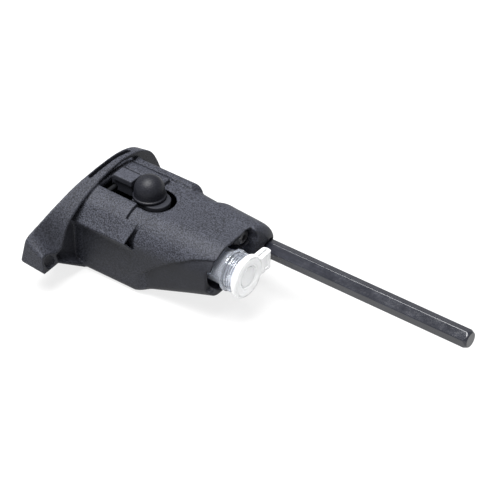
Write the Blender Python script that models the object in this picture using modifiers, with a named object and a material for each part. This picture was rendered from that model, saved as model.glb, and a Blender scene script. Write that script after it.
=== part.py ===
"""Plug-in service key: a moulded handle with a curved end flange and a sprung latch button,
a straight 5 mm hexagon bar, and a capped clear vial stowed beside the bar.

Lengths below are in millimetres and are turned into metres once, by the scale MM.  Pieces are
modelled round the bar: X runs along the bar to its tip, Y across the handle, Z up, and the zero
is on the bar's axis at the front of the nose.  One empty moves that zero so that the finished
key stands on Z = 0, centred on the world's origin.
"""

import math

import bmesh
import bpy
from mathutils import Matrix, Vector

MM = 0.001

# --- driving dimensions, mm ---------------------------------------------------------------
GAP = 0.3                 # clearance kept between neighbouring pieces
BAR_ACROSS_FLATS = 5.0    # the standard hexagon that the key turns
BAR_TIP_X = 70.0
BAR_BEND = Vector((-28.0, 0.0, -5.0))   # centre of the bend into the short leg
BAR_LEG_END_Z = -10.4
BAR_ROLL = math.radians(10.5)

BASE_Z = -15.9            # flat underside of the handle
FLANGE_BOTTOM_Z = -15.3
REAR_X = -61.6            # lowest rear edge of the slanted end face
NEAR_Y = -43.0            # tip of the pull tab
FAR_Y = 13.2              # far side of the flange
NOSE_X = -3.0             # front face of the handle beside the vial
LIP_X = -50.0             # front edge of the flange's rim
RECESS_X = -53.0          # floor of the dished front of the flange
WALL = 1.8                # moulding thickness
REAR_TILT = math.radians(15.5)   # how far the rear face leans off square
FLANGE_CORNER = 9.0       # radius of the flange's far lower corner
RIM = 1.6                 # width of the flange's rim round its dished front
COVER_STEP = 1.8          # depth of the step that the cover lies in

CENTRE_Y = -10.5          # middle of the slot, latch and handle
SLOT_WIDTH = 11.5
SLOT_END_X = -33.0        # centre of the slot's round end
BUTTON_X = -35.7          # centre of the dome button and its spring
DOME_RADIUS = 4.65
SKIRT_RADIUS = 5.1
SKIRT_Z = 9.8             # top of the button's skirt
DOME_TOP_Z = 16.1
LEVER_TOP_Z = 13.2
LEVER_WIDTH = 4.7
LEVER_PLATE_Z = (7.2, 8.9)  # the lever's lower plate, under the button's skirt
LEVER_PLATE_RADIUS = 4.4
LEVER_END_X = -33.2       # centre of the lower plate's round end
PIVOT = Vector((-47.6, CENTRE_Y, 8.4))
PIN_RADIUS = 0.75
SPRING_RADIUS = 2.3
SPRING_WIRE = 0.3
SPRING_SEAT_Z = -1.0

VIAL_Y, VIAL_Z = -15.3, 0.7
POCKET_RADIUS = 7.2
TUBE_RADIUS = 5.4
TUBE_WALL = 0.8
TUBE_REAR_X = -26.5
COLLAR_RADIUS = 6.25
COLLAR_X = (-1.6, 2.5)    # rear and front of the moulded collar
CAP_RADIUS = 6.7
CAP_FRONT_X = 4.66
CAP_BACK_X = 2.8
CAP_HINGE = Vector((2.85, VIAL_Y + 11.0, VIAL_Z))
STRAP_Z = (VIAL_Z - 3.3, VIAL_Z + 2.9)   # edges of the hinge strap between tube and cap

SLEEVE_RADIUS = 6.9
SLEEVE_BORE = 5.75
SLEEVE_FRONT_X = -12.5

BAR_ROOM_RADIUS = 4.1     # bore in the nose that the bushing stands in
BUSHING_OUTER, BUSHING_INNER = 3.8, 3.2
BUSHING_X = (-11.6, -2.6)

SCREW_Y, SCREW_Z = -7.0, 6.3    # nose screw
NOSE_HEAD_ROOM = 2.5      # radius of the counterbore for its head
NOSE_HEAD_SEAT_X = -4.7
NOSE_HOLE = 1.5           # radius of its hole

COVER_SCREWS = ((-19.1, -7.6), (-1.1, -7.6))
COVER_HEAD_ROOM = 2.9     # counterbore and hole for each cover screw
COVER_HOLE = 1.7
BOSS_HOLE = 1.6

MID = Vector(((REAR_X + BAR_TIP_X) / 2, (NEAR_Y + FAR_Y) / 2, BASE_Z))

PALETTE = {
    "grained_black": ((0.030, 0.031, 0.034), 0.62, 0.0),
    "inner_black": ((0.020, 0.021, 0.023), 0.55, 0.0),
    "black_oxide": ((0.060, 0.060, 0.062), 0.38, 0.9),
    "spring_steel": ((0.52, 0.52, 0.53), 0.28, 1.0),
    "clear_plastic": ((0.86, 0.89, 0.92), 0.12, 0.0),
}


# --- small tools ---------------------------------------------------------------------------
def clear_scene():
    for thing in list(bpy.data.objects):
        bpy.data.objects.remove(thing, do_unlink=True)


def collection(name):
    made = bpy.data.collections.new(name)
    bpy.context.scene.collection.children.link(made)
    return made


def material(name, slot):
    colour, roughness, metallic = PALETTE[slot]
    made = bpy.data.materials.new(name)
    made.use_nodes = True
    shader = made.node_tree.nodes["Principled BSDF"]
    shader.inputs["Base Color"].default_value = (*colour, 1.0)
    shader.inputs["Roughness"].default_value = roughness
    shader.inputs["Metallic"].default_value = metallic
    return made


def empty(name, parent, at):
    made = bpy.data.objects.new(name, None)
    KEY.objects.link(made)
    made.parent = parent
    made.location = at * MM
    return made


def add_object(name, mesh, parent, slot=None):
    """A named piece of the key, or a cutter where no material slot is given."""
    made = bpy.data.objects.new(name, mesh)
    made.parent = parent
    made.matrix_parent_inverse = Matrix.Identity(4)
    if slot is None:
        CUTTERS.objects.link(made)
        made.hide_render = True
        made.display_type = "WIRE"
    else:
        KEY.objects.link(made)
        mesh.materials.append(material(name, slot))
    origin = origin_of(parent)
    mesh.transform(Matrix.Translation(-origin * MM))
    return made


def origin_of(parent):
    """Where a parent empty stands, in millimetres of the bar's frame."""
    place = Vector((0.0, 0.0, 0.0))
    while parent is not None and parent is not FRAME:
        place += parent.location / MM
        parent = parent.parent
    return place


def mesh_from(bm, name):
    bmesh.ops.recalc_face_normals(bm, faces=bm.faces)
    mesh = bpy.data.meshes.new(name)
    bm.to_mesh(mesh)
    bm.free()
    mesh.transform(Matrix.Scale(MM, 4))
    return mesh


def smooth(obj, angle=30.0):
    obj.data.shade_smooth()
    obj.data.set_sharp_from_angle(angle=math.radians(angle))


def combine(target, other, operation):
    step = target.modifiers.new(operation.lower(), "BOOLEAN")
    step.operation = operation
    step.solver = "EXACT"
    step.object = other


def cut(target, *cutters):
    for cutter in cutters:
        combine(target, cutter, "DIFFERENCE")


def join(target, *others):
    for other in others:
        combine(target, other, "UNION")


# --- shape makers (all in millimetres of the bar's frame) -----------------------------------
def box(name, low, high, parent, slot=None):
    bm = bmesh.new()
    bmesh.ops.create_cube(bm, size=1.0)
    size = Vector(high) - Vector(low)
    bmesh.ops.scale(bm, vec=size, verts=bm.verts)
    bmesh.ops.translate(bm, vec=(Vector(high) + Vector(low)) / 2, verts=bm.verts)
    return add_object(name, mesh_from(bm, name), parent, slot)


AXES = {
    "X": Matrix.Rotation(math.radians(90), 4, "Y"),
    "Y": Matrix.Rotation(math.radians(-90), 4, "X"),
    "Z": Matrix.Identity(4),
}


def rod(name, radius, start, end, parent, slot=None, axis="X", sides=32, end_radius=None, turn=0.0):
    """A cylinder, prism or cone whose ends are at two points along an axis."""
    start, end = Vector(start), Vector(end)
    bm = bmesh.new()
    bmesh.ops.create_cone(
        bm, cap_ends=True, segments=sides, radius1=radius,
        radius2=radius if end_radius is None else end_radius, depth=(end - start).length,
    )
    bmesh.ops.rotate(bm, matrix=Matrix.Rotation(turn, 3, "Z"), verts=bm.verts)
    bmesh.ops.transform(bm, matrix=AXES[axis], verts=bm.verts)
    bmesh.ops.translate(bm, vec=(start + end) / 2, verts=bm.verts)
    made = add_object(name, mesh_from(bm, name), parent, slot)
    smooth(made)
    return made


def turned(name, profile, at, axis, parent, slot=None, steps=32):
    """A profile of (radius, height) points, outer side first and top to bottom, turned about an axis."""
    mesh = bpy.data.meshes.new(name)
    points = [Vector((r, 0.0, h)) for r, h in profile]
    edges = [(i, i + 1) for i in range(len(points) - 1)]
    mesh.from_pydata(points, edges, [])
    mesh.transform(Matrix.Scale(MM, 4))
    made = add_object(name, mesh, parent, slot)
    mesh.transform(Matrix.Translation(origin_of(parent) * MM))
    made.location = (Vector(at) - origin_of(parent)) * MM
    made.rotation_euler = AXES[axis].to_euler()
    screw = made.modifiers.new("turn", "SCREW")
    screw.steps = steps
    screw.render_steps = steps
    screw.use_merge_vertices = True
    screw.merge_threshold = 0.00001
    screw.use_normal_calculate = False
    return made


def loft(name, sections, parent, slot=None):
    """A closed skin over rings of points that all have the same count, capped at both ends."""
    bm = bmesh.new()
    rings = [[bm.verts.new(p) for p in ring] for ring in sections]
    for ring_a, ring_b in zip(rings, rings[1:]):
        count = len(ring_a)
        for i in range(count):
            j = (i + 1) % count
            bm.faces.new((ring_a[i], ring_a[j], ring_b[j], ring_b[i]))
    bm.faces.new(rings[0])
    bm.faces.new(rings[-1])
    return add_object(name, mesh_from(bm, name), parent, slot)


def arc(centre, radius, start, end, steps):
    """Points of an arc in the Y-Z plane, angles in degrees from +Y towards +Z."""
    points = []
    for i in range(steps + 1):
        angle = math.radians(start + (end - start) * i / steps)
        points.append((centre[0] + radius * math.cos(angle), centre[1] + radius * math.sin(angle)))
    return points


def rounded(y0, y1, z0, z1, far_top, near_top, near_low, far_low, steps=5):
    """A rectangle in Y and Z with four corner radii, anticlockwise from the far top."""
    return (
        arc((y1 - far_top, z1 - far_top), far_top, 0, 90, steps)
        + arc((y0 + near_top, z1 - near_top), near_top, 90, 180, steps)
        + arc((y0 + near_low, z0 + near_low), near_low, 180, 270, steps)
        + arc((y1 - far_low, z0 + far_low), far_low, 270, 360, steps)
    )


def at_x(outline, x):
    """Puts a Y-Z outline at one X, or at an X that follows from Z."""
    if callable(x):
        return [Vector((x(z), y, z)) for y, z in outline]
    return [Vector((x, y, z)) for y, z in outline]


def spline(points, steps):
    """A Catmull-Rom curve through the points, with this many steps between neighbours."""
    ends = [points[0], *points, points[-1]]
    out = []
    for p0, p1, p2, p3 in zip(ends, ends[1:], ends[2:], ends[3:]):
        for i in range(steps):
            t = i / steps
            out.append(tuple(
                0.5 * (2 * b + (c - a) * t + (2 * a - 5 * b + 4 * c - d) * t * t
                       + (3 * b - a - 3 * c + d) * t ** 3)
                for a, b, c, d in zip(p0, p1, p2, p3)
            ))
    out.append(points[-1])
    return out


def plate(name, outline, x0, x1, parent, slot=None):
    """A flat Y-Z outline given thickness along X, made from a filled 2D curve."""
    curve = bpy.data.curves.new(name, "CURVE")
    curve.dimensions = "2D"
    curve.fill_mode = "BOTH"
    curve.extrude = (x1 - x0) / 2 * MM
    line = curve.splines.new("POLY")
    line.points.add(len(outline) - 1)
    for point, (y, z) in zip(line.points, outline):
        point.co = (y * MM, z * MM, 0.0, 1.0)
    line.use_cyclic_u = True
    drawn = bpy.data.objects.new(name, curve)
    bpy.context.scene.collection.objects.link(drawn)
    bpy.context.view_layer.update()
    seen = drawn.evaluated_get(bpy.context.evaluated_depsgraph_get())
    mesh = bpy.data.meshes.new_from_object(seen)
    bpy.data.objects.remove(drawn, do_unlink=True)
    bm = bmesh.new()
    bm.from_mesh(mesh)
    bmesh.ops.remove_doubles(bm, verts=bm.verts, dist=0.00001)
    bmesh.ops.recalc_face_normals(bm, faces=bm.faces)
    bm.to_mesh(mesh)
    bm.free()
    stand = Matrix(((0, 0, 1, (x0 + x1) / 2 * MM), (1, 0, 0, 0), (0, 1, 0, 0), (0, 0, 0, 1)))
    mesh.transform(stand)
    mesh.materials.clear()
    return add_object(name, mesh, parent, slot)


# --- the handle's moulding -----------------------------------------------------------------
def end_face_x(z, inset=0.0):
    """The slanted rear face, furthest back at the bottom."""
    return REAR_X + inset + math.tan(REAR_TILT) * (z - FLANGE_BOTTOM_Z)


def lower_rim():
    """The underside of the flange, from the far side round to the inner foot of the pull tab."""
    return (
        arc((FAR_Y - FLANGE_CORNER, FLANGE_BOTTOM_Z + FLANGE_CORNER), FLANGE_CORNER, 0, -90, 5)
        + [(-25.0, FLANGE_BOTTOM_Z), (-36.1, -6.9)]
    )


def lip_outline():
    """The front edge of the rim: pull tab, S-shaped notch, long near flank, crown, far side."""
    notch = spline([(NEAR_Y, -0.6), (-40.4, -2.1), (-36.6, -3.9), (-34.6, -2.4)], 2)[:-1]
    sweep = spline([(-34.6, -2.4), (-30.6, 5.0), (-20.5, 10.4), (-4.0, 13.2), (7.6, 9.0), (FAR_Y, -2.0)], 4)
    return [(NEAR_Y + 0.9, -6.9)] + notch + sweep + lower_rim()


def end_outline():
    """The rear edge of the rim, with a taller pull tab than the front edge has."""
    tab = spline([(NEAR_Y, 3.8), (-41.0, 4.7), (-38.8, 5.7), (-36.6, 6.6)], 2)[:-1]
    sweep = spline([(-36.6, 6.6), (-30.6, 9.3), (-20.1, 12.6), (-4.0, 13.5), (6.8, 8.8), (FAR_Y, -2.0)], 4)
    return [(NEAR_Y + 0.9, -6.9)] + tab + sweep + lower_rim()


def dish_outline():
    """The dished front of the flange, inside its lip."""
    return (
        spline([(-33.0, -2.6), (-29.2, 4.0), (-19.8, 8.8), (-4.0, 11.6), (6.4, 7.8), (11.6, -2.0)], 4)
        + arc((FAR_Y - FLANGE_CORNER, FLANGE_BOTTOM_Z + FLANGE_CORNER), FLANGE_CORNER - RIM, 0, -90, 5)
        + [(-24.6, FLANGE_BOTTOM_Z + RIM), (-33.6, -7.0)]
    )


HANDLE = (  # X, near Y, far Y, bottom Z, top Z, then the four corner radii
    (RECESS_X, -25.2, 5.2, BASE_Z, 10.3, 9.0, 9.0, 2.5, 4.0),
    (-31.0, -25.0, 5.2, BASE_Z, 9.8, 10.0, 9.0, 2.5, 4.0),
    (-12.0, -24.5, 5.0, -10.1, 9.55, 9.8, 9.0, 4.6, 4.0),
    (NOSE_X, -24.3, 4.2, -7.5, 9.3, 9.0, 9.0, 5.6, 4.0),
)


HOOD = (  # X, reach of the far-top arc, how far the hood goes to the near side of the bar
    (-9.0, 9.35, 4.9), (-3.1, 9.4, 4.9), (-1.4, 8.9, 4.86),
    (-0.2, 7.9, 3.9), (0.7, 6.5, 2.4), (1.1, 5.2, 1.2),
)


def handle_sections(inset=0.0, x_start=None):
    """The handle's own sections, each shrunk by a wall, with the rear one optionally moved back."""
    sections = []
    for x, y0, y1, z0, z1, ft, nt, nl, fl in HANDLE:
        outline = rounded(
            y0 + inset, y1 - inset, z0 + inset, z1 - inset,
            ft - inset, nt - inset, max(nl - inset, 0.8), fl - inset,
        )
        sections.append(at_x(outline, x if sections or x_start is None else x_start))
    return sections


def pad():
    """The raised pad on the near shoulder, its front end cut off at a slant."""
    face = [(-22.9, 7.9), (-27.3, 3.0), (-24.4, 1.2), (-18.0, 5.0)]
    rear = at_x(face, RECESS_X + 1.0)
    front = [Vector((-29.2 - 0.46 * (8.9 - z), y, z)) for y, z in face]
    return loft("cut_pad", [rear, front], FRAME)


def hood():
    """The rounded hood over the bar's root: it bulges forward of the nose and falls away at each side."""
    sections = []
    for x, reach, near in HOOD:
        turn = math.degrees(math.acos(min(max((4.6 - near) / reach, 0.0), 1.0)))
        top = arc((-4.6, 0.0), reach, 0, turn, 6)
        side = [(-near, top[-1][1] - 0.1), (-near, -4.0), (-4.6 + reach * 0.99, -4.0)]
        sections.append(at_x(top + side, x))
    return loft("cut_hood", sections, FRAME)


def cover_outline(inset=0.0):
    """The cover let into the slanted rear face."""
    return rounded(-30.0 + inset, 9.8 - inset, -14.4 + inset, 9.6 - inset,
                   11.0 - inset, 12.0 - inset, 10.5 - inset, 8.0 - inset, 6)


def slot_cutters():
    half = SLOT_WIDTH / 2
    low, high = 4.0, 20.0
    straight = box("cut_slot", (LIP_X + 0.05, CENTRE_Y - half, low),
                   (SLOT_END_X, CENTRE_Y + half, high), FRAME)
    end = rod("cut_slot_end", half, (SLOT_END_X, CENTRE_Y, low), (SLOT_END_X, CENTRE_Y, high),
              FRAME, axis="Z", sides=36)
    return straight, end


def nose_cutters():
    """The pocket round the vial, the seat of the nose plate, and the room round the bar's root."""
    pocket = rod("cut_pocket", POCKET_RADIUS, (-14.0, VIAL_Y, VIAL_Z), (2.0, VIAL_Y, VIAL_Z), FRAME, sides=36)
    near_front = box("cut_near_front", (-4.9, -30.0, -4.0), (2.0, -20.2, 6.4), FRAME)
    plate_seat = box("cut_plate_seat", (-6.0, -12.8, -5.6), (2.0, -4.8, 8.7), FRAME)
    window = box("cut_window", (-14.0, -12.0, -5.6), (-5.0, -4.8, 3.1), FRAME)
    bar_room = rod("cut_bar_room", BAR_ROOM_RADIUS, (-14.0, 0.0, 0.0), (4.0, 0.0, 0.0), FRAME, sides=28)
    bar_front = box("cut_bar_front", (-1.8, -4.1, -9.0), (4.0, 9.0, 0.0), FRAME)
    thread = rod("cut_nose_thread", NOSE_HOLE, (-11.6, SCREW_Y, SCREW_Z),
                 (2.0, SCREW_Y, SCREW_Z), FRAME, sides=16)
    head = rod("cut_nose_head", NOSE_HEAD_ROOM, (NOSE_HEAD_SEAT_X, SCREW_Y, SCREW_Z),
               (2.0, SCREW_Y, SCREW_Z), FRAME, sides=24)
    return pocket, near_front, plate_seat, window, bar_room, bar_front, thread, head


def main_housing():
    lip = at_x(lip_outline(), LIP_X)
    end = at_x(end_outline(), end_face_x)
    shell = loft("main_housing", [end, lip], FRAME, "grained_black")
    dish = plate("cut_dish", dish_outline(), RECESS_X, LIP_X + 1.0, FRAME)
    dimple = rod("cut_dimple", 2.7, (LIP_X - 1.5, -39.2, -3.6), (LIP_X + 1.0, -39.2, -3.6), FRAME, sides=20)
    cut(shell, dish, dimple)
    body = loft("cut_body", handle_sections(0.0, RECESS_X - 1.0), FRAME)
    rail_outline = [(-0.2, 9.6), (1.8, 9.4), (3.6, 7.6), (1.0, 5.0), (-1.0, 6.0)]
    rail = loft("cut_rail", [at_x(rail_outline, x) for x in (RECESS_X - 1.0, -28.4)], FRAME)
    join(shell, body, pad(), rail, hood())
    cavity = loft("cut_cavity", handle_sections(WALL, RECESS_X - 3.0)[:-1], FRAME)
    rear_way = loft("cut_rear_way", [
        at_x(rounded(-23.0, 2.8, -13.5, 8.0, 7.0, 7.0, 2.0, 2.0), x) for x in (-66.0, RECESS_X - 2.0)
    ], FRAME)
    cover_seat = loft("cut_cover_seat", [
        at_x(cover_outline(), lambda z: end_face_x(z, -3.0)),
        at_x(cover_outline(), lambda z: end_face_x(z, COVER_STEP)),
    ], FRAME)
    cut(shell, cavity, rear_way, cover_seat)
    join(shell, *[
        box("cut_pivot_rib", (LIP_X + 0.1, y0, 5.6), (-45.3, y0 + 2.6, 9.3), FRAME)
        for y0 in (CENTRE_Y - 8.6, CENTRE_Y + 5.8)
    ])
    pin_bore = rod("cut_pin_bore", PIN_RADIUS + 0.25, PIVOT - Vector((0, 8.2, 0)),
                   PIVOT + Vector((0, 8.0, 0)), FRAME, axis="Y", sides=16)
    rim_slot = loft("cut_rim_slot", [
        [Vector((x, -17.0, 20.0)), Vector((x, 0.5, 20.0)), Vector((x, 0.5, 10.5)), Vector((x, -17.0, 10.5))]
        for x in (-53.0, -52.2)
    ], FRAME)
    cut(shell, pin_bore, rim_slot, *slot_cutters(), *nose_cutters())
    return shell


def end_cover():
    cover = loft("end_cover", [
        at_x(cover_outline(GAP), lambda z: end_face_x(z, GAP)),
        at_x(cover_outline(GAP), lambda z: end_face_x(z, COVER_STEP - GAP)),
    ], FRAME, "grained_black")
    for y, z in COVER_SCREWS:
        join(cover, rod("cut_cover_boss", 3.5, (-58.6, y, z), (-54.2, y, z), FRAME, sides=24))
        cut(cover, rod("cut_cover_head", COVER_HEAD_ROOM, (-66.0, y, z), (-56.0, y, z), FRAME, sides=20))
        cut(cover, rod("cut_cover_hole", COVER_HOLE, (-66.0, y, z), (-50.0, y, z), FRAME, sides=16))


def screw_profile(head_radius, head_height, shank_radius, length):
    """A round-headed screw pointing down, its head's top at height zero, with a drive recess."""
    dome = 0.35 * head_height
    return [
        (0.0, -0.7), (0.9, -0.7), (1.0, 0.0), (head_radius - dome, 0.0), (head_radius, -dome),
        (head_radius, -head_height), (shank_radius, -head_height), (shank_radius, -length + 0.8),
        (0.0, -length),
    ]


def cover_screw(name, y, z):
    """A pan-head screw that enters from the rear, through the cover into the chassis."""
    profile = [(r, -h) for r, h in screw_profile(2.45, 1.6, 1.3, 13.6)][::-1]
    turned(name, profile, (-57.9, y, z), "X", FRAME, "black_oxide", steps=20)


def inner_frame():
    """The chassis inside the handle: cradles for bar and vial, the spring's post, the screw bosses."""
    frame = box("inner_frame", (-50.0, -22.0, -13.2), (-30.5, 2.0, -11.4), FRAME, "inner_black")
    join(
        frame,
        box("cut_leg_block", (-38.4, -4.8, -11.8), (-29.2, 2.8, -5.8), FRAME),
        box("cut_bar_cradle", (-31.0, -4.6, -7.8), (-15.5, 2.7, -3.2), FRAME),
        box("cut_vial_cradle", (-31.0, -21.6, -7.9), (-15.5, -4.0, -1.0), FRAME),
        box("cut_front_web", (-34.0, -20.0, -12.0), (-30.0, -5.0, -7.0), FRAME),
        rod("cut_spring_post", 3.0, (BUTTON_X, CENTRE_Y, -12.0), (BUTTON_X, CENTRE_Y, SPRING_SEAT_Z - GAP),
            FRAME, axis="Z", sides=24),
    )
    for y, z in COVER_SCREWS:
        join(frame, rod("cut_boss", 2.5, (-53.6, y, z), (-41.0, y, z), FRAME, sides=20))
        join(frame, box("cut_boss_web", (-50.0, y - 1.2, -12.0), (-41.5, y + 1.2, z - 1.0), FRAME))
    cut(
        frame,
        box("cut_leg_slot", (-36.2, -3.3, -10.8), (-29.8, 4.0, -2.0), FRAME),
        box("cut_bend_room", (-36.2, -3.3, -7.0), (-27.0, 4.0, -2.0), FRAME),
        rod("cut_sleeve_room", 7.5, (-34.0, VIAL_Y, VIAL_Z), (0.0, VIAL_Y, VIAL_Z), FRAME, sides=36),
    )
    for y, z in COVER_SCREWS:
        cut(frame, rod("cut_boss_hole", BOSS_HOLE, (-60.0, y, z), (-43.6, y, z), FRAME, sides=16))


def hexagon(radius, centre, up):
    """Six corners round a point of the bar, in the plane of Y and an upward direction."""
    corners = []
    for i in range(6):
        angle = BAR_ROLL + math.radians(30 + 60 * i)
        across = Vector((0.0, radius * math.cos(angle), 0.0))
        corners.append(centre + across + up * (radius * math.sin(angle)))
    return corners


def hex_bar():
    """A hexagon key: the long leg shows, the short leg is bent down into the chassis."""
    radius = BAR_ACROSS_FLATS / 2 / math.cos(math.radians(30))
    bend_radius = -BAR_BEND.z
    up = Vector((0.0, 0.0, 1.0))
    sections = [
        hexagon(radius * 0.88, Vector((BAR_TIP_X, 0, 0)), up),
        hexagon(radius, Vector((BAR_TIP_X - 0.5, 0, 0)), up),
    ]
    for i in range(7):
        beta = math.radians(15 * i)
        outward = Vector((-math.sin(beta), 0.0, math.cos(beta)))
        sections.append(hexagon(radius, BAR_BEND + outward * bend_radius, outward))
    leg = Vector((BAR_BEND.x - bend_radius, 0.0, BAR_LEG_END_Z))
    sections.append(hexagon(radius, leg, Vector((-1.0, 0.0, 0.0))))
    loft("hex_bar", sections, FRAME, "black_oxide")


def ring(name, outer, inner, x0, x1, y, z, slot, sides=32):
    made = rod(name, outer, (x0, y, z), (x1, y, z), FRAME, slot, sides=sides)
    cut(made, rod("cut_" + name, inner, (x0 - 1.0, y, z), (x1 + 1.0, y, z), FRAME, sides=sides))
    return made


def nose_plate():
    """Closes the front between vial and bar, over the pocket, and takes the nose screw."""
    front = box("nose_plate", (-5.7, -12.4, 3.4), (NOSE_X, -5.1, 8.4), FRAME, "grained_black")
    cut(
        front,
        rod("cut_plate_arch", POCKET_RADIUS, (-9.0, VIAL_Y, VIAL_Z), (2.0, VIAL_Y, VIAL_Z), FRAME, sides=36),
        rod("cut_plate_head", NOSE_HEAD_ROOM, (NOSE_HEAD_SEAT_X, SCREW_Y, SCREW_Z),
            (2.0, SCREW_Y, SCREW_Z), FRAME, sides=24),
        rod("cut_plate_hole", NOSE_HOLE, (-9.0, SCREW_Y, SCREW_Z), (2.0, SCREW_Y, SCREW_Z), FRAME, sides=16),
    )


def nose_screw():
    turned("nose_screw", screw_profile(2.15, 1.0, 1.15, 7.4), (-3.45, SCREW_Y, SCREW_Z), "X", FRAME,
           "black_oxide", steps=20)


def vial_sleeve():
    """The tube's socket, with a closed rear end and a window for the clip."""
    at = (VIAL_Y, VIAL_Z)
    sleeve = rod("vial_sleeve", SLEEVE_RADIUS, (TUBE_REAR_X - 1.5, *at), (SLEEVE_FRONT_X, *at), FRAME,
                 "inner_black")
    cut(
        sleeve,
        rod("cut_sleeve_bore", SLEEVE_BORE, (TUBE_REAR_X - 0.4, *at), (0.0, *at), FRAME),
        box("cut_clip_seat", (-25.0, VIAL_Y - 2.1, VIAL_Z + 3.0), (-15.0, VIAL_Y + 2.1, VIAL_Z + 9.0), FRAME),
    )


def vial_clip():
    """A bowed leaf in the sleeve's window, which keeps the vial from sliding out by itself."""
    bow = []
    for i in range(9):
        t = i / 8
        bow.append((-24.6 + 9.2 * t, VIAL_Z + 6.75 - 0.9 * math.sin(math.pi * t)))
    outline = [(x, z + 0.2) for x, z in bow] + [(x, z - 0.2) for x, z in reversed(bow)]
    sections = [[Vector((x, y, z)) for x, z in outline] for y in (VIAL_Y - 1.7, VIAL_Y + 1.7)]
    loft("vial_clip", sections, FRAME, "spring_steel")


def vial_tube():
    """A round-ended tube, open at its front, with a grooved collar and one leaf of the cap's strap."""
    inner, rounding = TUBE_RADIUS - TUBE_WALL, (0, 30, 60, 90)
    front, back = COLLAR_X[1], TUBE_REAR_X
    ends = []
    for radius, centre in ((inner, back + TUBE_WALL + inner), (TUBE_RADIUS, back + TUBE_RADIUS)):
        ends.append([(radius * math.sin(math.radians(a)), centre - radius * math.cos(math.radians(a)))
                     for a in rounding])
    collar = [
        (inner, front), (COLLAR_RADIUS, front), (COLLAR_RADIUS, 1.0), (COLLAR_RADIUS - 0.4, 0.8),
        (COLLAR_RADIUS - 0.4, 0.2), (COLLAR_RADIUS, 0.0), (COLLAR_RADIUS, COLLAR_X[0]),
        (TUBE_RADIUS, COLLAR_X[0]),
    ]
    tube = turned("vial_tube", ends[0] + collar + ends[1][::-1], (0.0, VIAL_Y, VIAL_Z), "X", VIAL,
                  "clear_plastic")
    leaf = box("cut_tube_leaf", (1.3, VIAL_Y + 5.0, STRAP_Z[0]), (2.5, CAP_HINGE.y - GAP, STRAP_Z[1]), VIAL)
    join(tube, leaf)


def vial_cap():
    """A push-in cap with a ring recess on its face, a hollow plug and the strap's other leaf."""
    front, back = CAP_FRONT_X, CAP_BACK_X
    profile = [
        (0.0, front - 0.5), (3.5, front - 0.5), (3.5, front - 0.25), (4.2, front - 0.25), (4.5, front),
        (CAP_RADIUS - 0.35, front), (CAP_RADIUS, front - 0.35), (CAP_RADIUS, back),
        (4.1, back), (4.1, 0.2), (3.3, 0.2), (3.3, 2.2), (0.0, 2.2),
    ]
    cap = turned("vial_cap", profile, (0.0, VIAL_Y, VIAL_Z), "X", CAP, "clear_plastic")
    leaf = box("cut_cap_leaf", (3.15, VIAL_Y + 5.5, STRAP_Z[0]), (4.35, CAP_HINGE.y - GAP, STRAP_Z[1]), CAP)
    join(cap, leaf)


def latch_lever():
    """A finger bar above a round-ended lower plate, which carries the button and rests on the spring."""
    low, high = LEVER_PLATE_Z
    half, wide = LEVER_WIDTH / 2, LEVER_PLATE_RADIUS
    near, far = CENTRE_Y - half, CENTRE_Y + half
    lever = box("latch_lever", (-49.0, near, low), (-41.1, far, LEVER_TOP_Z), LATCH, "grained_black")
    join(
        lever,
        box("cut_lever_nose", (-42.0, near, SKIRT_Z + GAP), (-40.65, far, LEVER_TOP_Z), LATCH),
        box("cut_lever_plate", (-45.0, CENTRE_Y - wide, low), (LEVER_END_X, CENTRE_Y + wide, high), LATCH),
        rod("cut_lever_end", wide, (LEVER_END_X, CENTRE_Y, low), (LEVER_END_X, CENTRE_Y, high), LATCH,
            axis="Z"),
    )
    side = Vector((0, 9, 0))
    cut(
        lever,
        rod("cut_lever_bore", PIN_RADIUS + 0.25, PIVOT - side, PIVOT + side, LATCH, axis="Y", sides=16),
        rod("cut_lever_hole", 1.8, (BUTTON_X, CENTRE_Y, 0.0), (BUTTON_X, CENTRE_Y, 12.0), LATCH,
            axis="Z", sides=16),
    )


def latch_button():
    """A dome on a short post, with a thin skirt below it and a stem through the lever."""
    shoulder = DOME_TOP_Z - DOME_RADIUS
    profile = [(r, shoulder + h) for h, r in arc((0.0, 0.0), DOME_RADIUS, 0, 90, 9)]
    stem, stem_end = 1.5, LEVER_PLATE_Z[0] + 0.1
    profile += [(DOME_RADIUS, SKIRT_Z), (SKIRT_RADIUS, SKIRT_Z), (SKIRT_RADIUS, SKIRT_Z - 0.6),
                (stem, SKIRT_Z - 0.6), (stem, stem_end), (0.0, stem_end)]
    turned("latch_button", profile, (BUTTON_X, CENTRE_Y, 0.0), "Z", LATCH, "grained_black")


def latch_pin():
    rod("latch_pin", PIN_RADIUS, PIVOT - Vector((0, 7.8, 0)), PIVOT + Vector((0, 7.6, 0)), FRAME,
        "spring_steel", axis="Y", sides=16)


def latch_spring():
    """A compression spring of six turns, whose end turns lie closer together."""
    top, bottom, turns = LEVER_PLATE_Z[0] - GAP - SPRING_WIRE, SPRING_SEAT_Z + SPRING_WIRE, 6
    curve = bpy.data.curves.new("latch_spring", "CURVE")
    curve.dimensions = "3D"
    curve.bevel_depth = SPRING_WIRE * MM
    curve.bevel_resolution = 2
    curve.use_fill_caps = True
    count = turns * 12 + 1
    line = curve.splines.new("POLY")
    line.points.add(count - 1)
    for i in range(count):
        t = i / (count - 1)
        rise = t - 0.07 * math.sin(2 * math.pi * t)
        angle = 2 * math.pi * turns * t
        height = bottom + (top - bottom) * rise
        at = Vector((SPRING_RADIUS * math.cos(angle), SPRING_RADIUS * math.sin(angle), height))
        line.points[i].co = (*(at * MM), 1.0)
    curve.materials.append(material("latch_spring", "spring_steel"))
    spring = bpy.data.objects.new("latch_spring", curve)
    KEY.objects.link(spring)
    spring.parent = FRAME
    spring.location = (BUTTON_X * MM, CENTRE_Y * MM, 0.0)


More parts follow.
